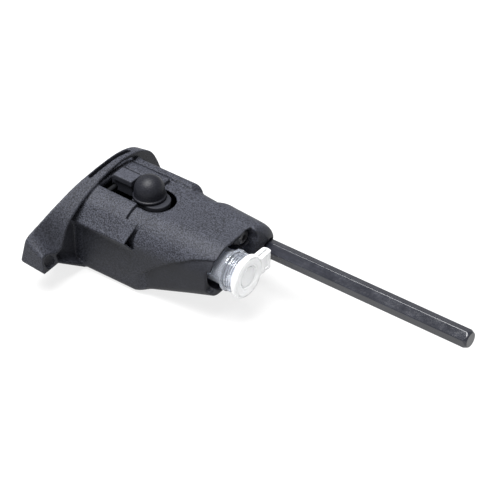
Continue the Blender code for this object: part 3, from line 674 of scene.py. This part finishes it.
def housing_grain_and_shade(points, normal):
    """Full grain on the roof, pad and flange; much less on the walls below the roof's edge, under the
    pad and on faces turned forward, which the low values also darken as painted shade.
    """
    x, y, z = points.T
    below = np.clip((roof_edge_z(x) - z) / 0.8, 0.0, 1.0) * np.clip((-20.5 - y) / 1.0, 0.0, 1.0)
    below *= np.clip((x + 28.0) / 3.0, 0.0, 1.0)
    under_pad = np.clip((2.4 - z) / 1.5, 0.0, 1.0) * np.clip((x - LIP_X) / 0.5, 0.0, 1.0)
    under_pad *= np.clip((-24.2 - y) / 0.6, 0.0, 1.0)
    # painted shade: faces turned forward along the bar get a lower value, so a darker colour
    front = np.clip(normal[:, 0] * 1.6 - 0.5, 0.0, 1.0)
    calm_and_shaded = np.maximum(np.maximum(below, 0.7 * under_pad), 0.7 * front)
    return 1.0 - 0.72 * calm_and_shaded


def main_housing():
    g = Grid((REAR_X - 1.0, NEAR_Y - 1.0, BASE_Z - 1.0), (2.4, FAR_Y + 1.0, 15.2), STEP)
    body = handle_field(g)
    walls = common(np.maximum(body, RECESS_X - 1.0 - g.x), g.x - NOSE_X - 0.3, 0.5)
    fade = np.clip((g.x + 30.0) / 5.0, 0.0, 1.0)
    step_in = 0.75 * fade * fade * (3 - 2 * fade)
    keep = np.minimum((roof_edge_z(g.x) - g.z) * 0.8, -15.0 - g.y)
    upper = common(walls, keep, 0.5)
    lower = np.maximum(np.maximum(body + step_in, g.x - NOSE_X + 0.6), RECESS_X - 1.0 - g.x)
    shell = join(upper, lower, 0.25)
    shell = cut(join(shell, pad_field(g), 0.25), pad_hollow(g, body), 0.15)
    shell = join(shell, rail_field(g), 0.35)
    groove = common(np.hypot(g.y + 0.55, (g.z - 9.5) * 0.6) - 0.50, np.abs(g.x + 39.2) - 11.2, 0.6)
    shell = cut(shell, groove, 0.25)
    shell = join(shell, hood_field(g), 0.3)
    shell = join(shell, flange_field(g), 0.8)
    cavity = np.maximum(np.maximum(body + WALL, g.x + 12.0), -56.0 - g.x)
    way = np.maximum(rounded_field(g, -23.0, 2.8, -13.5, 8.0, 7.0, 7.0, 2.0, 2.0), g.x + 54.0)
    seat = np.maximum(cover_field(g), g.x - end_plane_x(g.z) - COVER_STEP)
    for hollow, k in ((cavity, 0.4), (way, 0.4), (seat, 0.3)):
        shell = cut(shell, hollow, k)
    for y0 in (CENTRE_Y - 8.6, CENTRE_Y + 5.8):
        shell = join(shell, box_field(g, (LIP_X + 0.1, y0, 5.6), (-45.3, y0 + 2.6, 9.3), 0.2), 0.3)
    shell = cut(shell, slot_field(g), 0.55)
    along = g.y[0, :, 0]
    middle = np.interp(along, (-17.5, -6.0, 0.5), (-52.95, -52.55, -52.1))[None, :, None]
    wide = np.interp(along, (-17.5, -6.0, 0.5), (0.48, 0.60, 0.80))[None, :, None]
    rim_slot = common(np.abs(g.x - middle + 0.0 * g.z) - wide, np.maximum(-17.4 - g.y, g.y - 0.5), 0.3)
    shell = cut(shell, np.maximum(rim_slot, 10.0 - g.z), 0.25)
    for hollow, k in nose_cuts(g):
        shell = cut(shell, hollow, k)
    # a shallow witness line round the slot's end, and a small ring on the near side
    arc_line = np.abs(np.hypot(g.x - SLOT_END_X, g.y - CENTRE_Y) - 9.2)
    turn = np.degrees(np.arctan2(g.y - CENTRE_Y, g.x - SLOT_END_X))
    line = np.clip(1.0 - arc_line / 0.45, 0.0, 1.0) * ((turn < 5) & (turn > -100)) * (g.z > 5)
    shell = shell + 0.10 * line
    mark = np.sqrt((g.x + 39.8) ** 2 + (g.y + 26.0) ** 2 + (g.z - 4.4) ** 2)
    shell = shell + 0.16 * np.clip(1.0 - np.abs(mark - 1.0) / 0.4, 0.0, 1.0)
    shell = np.maximum(shell, BASE_Z + 0.08 - g.z)
    skin_field("housing_skin", g, shell, "handle", "main_housing", GRAINED,
               housing_grain_and_shade)


def end_cover():
    g = Grid((-63.0, -31.0, -16.0), (-53.4, 11.0, 11.0), 2 * FINE)
    depth = (g.x - end_plane_x(g.z)) * math.cos(REAR_TILT)
    cover = common(common(cover_field(g, GAP), GAP - depth, 0.5), depth - COVER_DEPTH, 0.3)
    for y, z in COVER_SCREWS:
        cover = join(cover, rod_field(g, 3.5, -58.6, -54.2, y, z), 0.4)
        cover = cut(cover, rod_field(g, COVER_HEAD_ROOM, -66.0, -56.0, y, z), 0.3)
        cover = cut(cover, rod_field(g, COVER_HOLE, -66.0, -50.0, y, z), 0.2)
    skin_field("cover_skin", g, cover, "handle", "end_cover", GRAINED,
               lambda points, normal: np.full(len(points), 0.8))


def nose_plate():
    g = Grid((-6.2, -13.0, 2.8), (-2.4, -4.6, 9.2), FINE)
    front = box_field(g, (-5.7, -12.45, 3.4), (NOSE_X, -5.1, 8.45), 0.25)
    front = common(front, handle_field(g) + 0.75, 0.4)
    front = cut(front, np.hypot(g.y - VIAL_Y, g.z - VIAL_Z) - POCKET_RADIUS + 0.0 * g.x, 0.4)
    front = cut(front, rod_field(g, NOSE_HEAD_ROOM, NOSE_HEAD_SEAT_X, 4.0, SCREW_Y, SCREW_Z), 0.25)
    front = cut(front, rod_field(g, NOSE_HOLE, -9.0, 4.0, SCREW_Y, SCREW_Z), 0.15)
    skin_field("nose_plate_skin", g, front, "handle", "nose_plate", GRAINED,
               lambda points, normal: np.full(len(points), 0.35))


# --- screws, bar and latch ------------------------------------------------------------------------
def screw(name, node, head_x, y, z, head, shank, length, thick, facing):
    """A pan-head screw with a six-lobed recess; facing is +1 for a head towards +X."""
    steps = 60
    outer = eased([(0.0, -length), (shank * 0.5, -length), (shank, -length + 0.7), (shank, -thick),
                   (head, -thick), (head, -0.35 * thick), (head * 0.72, -0.04), (1.3, 0.0)], 0.2)

    def ring(radius, depth, lobes):
        out = []
        for i in range(steps):
            a = 2 * math.pi * i / steps
            r = radius * (1 + lobes * math.cos(6 * a))
            out.append((head_x + facing * depth, y + r * math.cos(a), z + facing * r * math.sin(a)))
        return out

    rings = [[(head_x - facing * length, y, z)]] + [ring(r, d, 0.0) for r, d in outer[1:]]
    rings += [ring(1.06, 0.0, 0.13), ring(1.0, -0.06, 0.13), ring(0.96, -0.75, 0.13)]
    rings += [[(head_x - facing * 0.95, y, z)]]
    skin_rings(name, rings, "handle", node, SCREW_STEEL, 30.0)


def hex_ring(centre, up, limit=9.0):
    """A hexagon with slightly worn corners round a point of the bar, no wider than a limit."""
    ring = []
    for facet in range(6):
        for off in (-28, -26.5, -24, -18, -9, 0, 9, 18, 24, 26.5, 28, 30):
            a = BAR_ROLL + math.radians(60 * facet + off)
            radius = min(BAR_FLATS / 2 / math.cos(math.radians(off)), BAR_CORNER, limit)
            ring.append(centre + Vector((0.0, math.cos(a), 0.0)) * radius + up * (math.sin(a) * radius))
    return ring


def hex_bar():
    up = Vector((0, 0, 1))
    rings = [hex_ring(Vector((BAR_TIP_X - back, 0, 0)), up, 2.2 + back * 0.52 + min(back, 0.08))
             for back in (0.0, 0.08, 0.25, 0.42, 0.6, 0.8, 1.0, 1.2, 1.4)]
    rings += [hex_ring(Vector((x, 0, 0)), up) for x in np.linspace(68.0, -27.0, 20)]
    for i in range(13):
        b = math.radians(7.5 * i)
        outward = Vector((-math.sin(b), 0, math.cos(b)))
        rings.append(hex_ring(BAR_BEND - outward * BAR_BEND.z, outward))
    rings.append(hex_ring(Vector((BAR_BEND.x + BAR_BEND.z, 0, BAR_LEG_Z)), Vector((-1, 0, 0))))
    skin_rings("bar_skin", rings, "handle", "hex_bar", OXIDE, 32.0)


def latch_button():
    """A full dome on a short wall, slightly flattened, with a thin skirt and a stem."""
    shoulder = DOME_TOP_Z - DOME_RADIUS
    dome = [(DOME_RADIUS * math.sin(math.radians(a)) ** 0.97 if a else 0.0,
             shoulder + DOME_RADIUS * math.cos(math.radians(a))) for a in range(0, 91, 5)]
    stem, stem_end = 1.5, LEVER_PLATE_LOW + 0.1
    foot = eased([
        (DOME_RADIUS, shoulder), (DOME_RADIUS + 0.03, SKIRT_Z + 0.25), (SKIRT_RADIUS, SKIRT_Z + 0.02),
        (SKIRT_RADIUS, SKIRT_Z - 0.6), (stem, SKIRT_Z - 0.6), (stem, stem_end), (0.0, stem_end),
    ], 0.18)
    rings = turned_rings(dome[:-1] + [tuple(p) for p in foot], (BUTTON_X, CENTRE_Y, 0.0), "Z", 80)
    skin_rings("dome_skin", rings, "latch", "latch_button", SMOOTHER, 40.0)


def latch_lever():
    """A thin finger bar over a narrower web, on a round-ended plate that carries the button."""
    g = Grid((-49.6, -15.5, 6.6), (-28.2, -5.5, 13.8), 1.6 * FINE)
    near, far = CENTRE_Y - LEVER_HALF, CENTRE_Y + LEVER_HALF
    bar = box_field(g, (-47.7, near, 11.2), (-40.65, far, LEVER_TOP_Z), 0.3)
    web = box_field(g, (-48.8, near + 0.7, 7.2), (-41.1, far - 0.7, 12.0), 0.3)
    plate = np.hypot(np.maximum(g.x - LEVER_END_X, 0.0), g.y - CENTRE_Y) - LEVER_PLATE_RADIUS
    level = np.maximum(LEVER_PLATE_LOW - g.z, g.z - LEVER_PLATE_HIGH)
    plate = common(plate, np.maximum(level, -39.0 - g.x), 0.3)
    lever = join(join(bar, web, 0.3), plate, 0.4)
    lever = cut(lever, np.hypot(g.x - PIVOT_X, g.z - PIVOT_Z) - 1.0 + 0.0 * g.y, 0.2)
    lever = cut(lever, np.hypot(g.x - BUTTON_X, g.y - CENTRE_Y) - 1.8 + 0.0 * g.z, 0.2)
    # painted shade: the grain value is full only on the upward faces of the bar's top, so the lever's
    # sides, web and plate come out darker
    skin_field("lever_skin", g, lever, "latch", "latch_lever", LEVER_BLACK,
               lambda points, normal: np.clip(normal[:, 2] * 2 - 1, 0.0, 1.0) * (points[:, 2] > 12.0))


# --- the vial ---------------------------------------------------------------------------------------
def vial_tube():
    """A round-ended tube, open at its front, with three small ribs and a collar round its neck."""
    inner = TUBE_RADIUS - TUBE_WALL

    def round_end(radius, back, angles):
        return [(radius * math.sin(math.radians(a)), back + radius * (1 - math.cos(math.radians(a))))
                for a in angles]

    inside = round_end(inner, TUBE_REAR_X + TUBE_WALL, range(0, 91, 10))
    neck = [(inner, 2.5), (5.55, 2.5)]
    for x in (2.0, 1.25, 0.5):
        neck += [(5.6, x), (6.1, x - 0.15), (6.1, x - 0.4), (5.6, x - 0.55)]
    neck += [(5.7, -0.5), (6.45, -0.65), (6.5, -1.35), (TUBE_RADIUS + 0.1, -1.55), (TUBE_RADIUS, -1.9)]
    outside = round_end(TUBE_RADIUS, TUBE_REAR_X, range(90, -1, -10))
    neck = [tuple(p) for p in eased([inside[-1], *neck, outside[0]], 0.12)]
    profile = inside[:-1] + neck + outside[1:]
    rings = turned_rings(profile, (0.0, VIAL_Y, VIAL_Z), "X", 96)
    skin_rings("tube_skin", rings, "vial", "vial_tube", TUBE_CLEAR, 50.0)
    leaf("tube_leaf", (1.3, VIAL_Y + 5.2), (2.5, HINGE_Y - 0.3), "vial")


def vial_cap():
    """A push-in cap: a sunk disc in a ring groove, a fine rim groove and a hollow plug behind."""
    front, back = CAP_FRONT_X, CAP_BACK_X
    profile = [
        (0.0, front - 0.45), (3.0, front - 0.45), (3.15, front - 1.05), (3.55, front - 1.05),
        (3.7, front - 0.2), (4.15, front - 0.2), (4.3, front), (CAP_RADIUS - 0.95, front),
        (CAP_RADIUS - 0.8, front - 0.3),
        (CAP_RADIUS - 0.55, front - 0.3), (CAP_RADIUS - 0.4, front - 0.05), (CAP_RADIUS, front - 0.5),
        (CAP_RADIUS, back + 0.25),
        (CAP_RADIUS - 0.25, back), (4.1, back), (4.1, 0.45), (3.9, 0.2), (3.3, 0.2), (3.3, 2.2),
        (0.0, 2.2),
    ]
    rings = turned_rings([tuple(p) for p in eased(profile, 0.12)], (0.0, VIAL_Y, VIAL_Z), "X", 96)
    skin_rings("cap_skin", rings, "cap", "vial_cap", CAP_CLEAR, 50.0)
    leaf("cap_leaf", (3.15, VIAL_Y + 5.9), (4.35, HINGE_Y - 0.3), "cap")
    centre = Vector((HINGE_X, HINGE_Y - 0.35, 0.0))
    outline = []
    for radius, angles in ((1.5, range(-90, 91, 15)), (1.12, range(90, -91, -15))):
        for a in angles:
            outline.append((centre.x - radius * math.sin(math.radians(a)) * 0.95,
                            centre.y + radius * math.cos(math.radians(a)) * 0.5))
    rings = [[(x, y, z) for x, y in outline] for z in (STRAP_LOW + 0.15, STRAP_HIGH - 0.15)]
    skin_rings("strap_film", rings, "cap", None, CAP_CLEAR, 40.0)


def leaf(name, low, high, body):
    """One leaf of the strap between tube and cap, a rounded slab with a shallow window."""
    g = Grid((low[0] - 0.5, low[1] - 0.5, STRAP_LOW - 0.6),
             (high[0] + 0.5, high[1] + 0.6, STRAP_HIGH + 0.9), FINE)
    slab = box_field(g, (low[0], low[1], STRAP_LOW), (high[0], high[1], STRAP_HIGH), 0.3)
    window = box_field(g, (high[0] - 0.5, low[1] + 1.9, STRAP_LOW + 1.1),
                       (high[0] + 2.0, high[1] - 0.9, STRAP_HIGH - 1.2), 0.3)
    skin_field(name, g, cut(slab, window, 0.25), body, None, CAP_CLEAR)


# --- camera, floor and light --------------------------------------------------------------------------
def studio():
    """The camera, a floor whose own glow gives the photograph's white, and one soft lamp."""
    scene = bpy.context.scene
    scene.view_settings.view_transform = "Standard"
    eye = place((301.75, -409.98, 393.31))[0]
    right, up, back = (0.7992, 0.6011, 0.0), (-0.3681, 0.4894, 0.7906), (0.4752, -0.6318, 0.6123)
    lens = bpy.data.cameras.new("camera")
    lens.sensor_width = 36.0
    lens.lens = 158.4
    lens.clip_start, lens.clip_end = 0.01, 20.0
    camera = bpy.data.objects.new("camera", lens)
    camera.matrix_world = Matrix([(right[i], up[i], back[i], eye[i]) for i in range(3)] + [(0, 0, 0, 1)])
    scene.collection.objects.link(camera)
    scene.camera = camera

    bm = bmesh.new()
    bmesh.ops.create_grid(bm, x_segments=8, y_segments=8, size=1.6)
    mesh = bpy.data.meshes.new("floor")
    bm.to_mesh(mesh)
    bm.free()
    floor = bpy.data.objects.new("floor", mesh)
    scene.collection.objects.link(floor)
    n = Nodes("floor_paper")
    soft = n.noise(9.0, 2.0, 0.5)
    n.set(Base_Color=n.ramp(soft, ((0.3, (0.140,) * 3), (0.7, (0.148,) * 3))), Roughness=0.9)
    n.shader.inputs["Emission Color"].default_value = (1.0, 1.0, 1.0, 1.0)
    n.shader.inputs["Emission Strength"].default_value = 0.80
    mesh.materials.append(n.material)

    world = bpy.data.worlds.new("studio")
    scene.world = world
    world.use_nodes = True
    background = world.node_tree.nodes["Background"]
    background.inputs["Color"].default_value = (1.0, 1.0, 1.0, 1.0)
    background.inputs["Strength"].default_value = 0.38
    data = bpy.data.lights.new("top_soft", "AREA")
    data.size = 0.55
    data.energy = 19.0
    lamp = bpy.data.objects.new("top_soft", data)
    lamp.location = (-0.10, -0.15, 0.78)
    lamp.rotation_euler = lamp.location.to_track_quat("Z", "Y").to_euler()
    scene.collection.objects.link(lamp)


main_housing()
end_cover()
nose_plate()
screw("nose_screw_skin", "nose_screw", -3.45, SCREW_Y, SCREW_Z, 2.15, 1.15, 7.4, 1.0, 1)
for side, (screw_y, screw_z) in zip(("near", "far"), COVER_SCREWS):
    node = f"cover_screw_{side}"
    screw(f"{node}_skin", node, -57.9, screw_y, screw_z, 2.45, 1.3, 13.6, 1.6, -1)
hex_bar()
latch_button()
latch_lever()
vial_tube()
vial_cap()
for node, material in (
    ("inner_frame", INNER), ("bar_bushing", INNER), ("vial_sleeve", INNER),
    ("vial_clip", BRIGHT), ("latch_pin", INNER), ("latch_spring", INNER),
):
    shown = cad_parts[node]
    for index in range(len(shown.data.materials)):
        shown.data.materials[index] = material
studio()
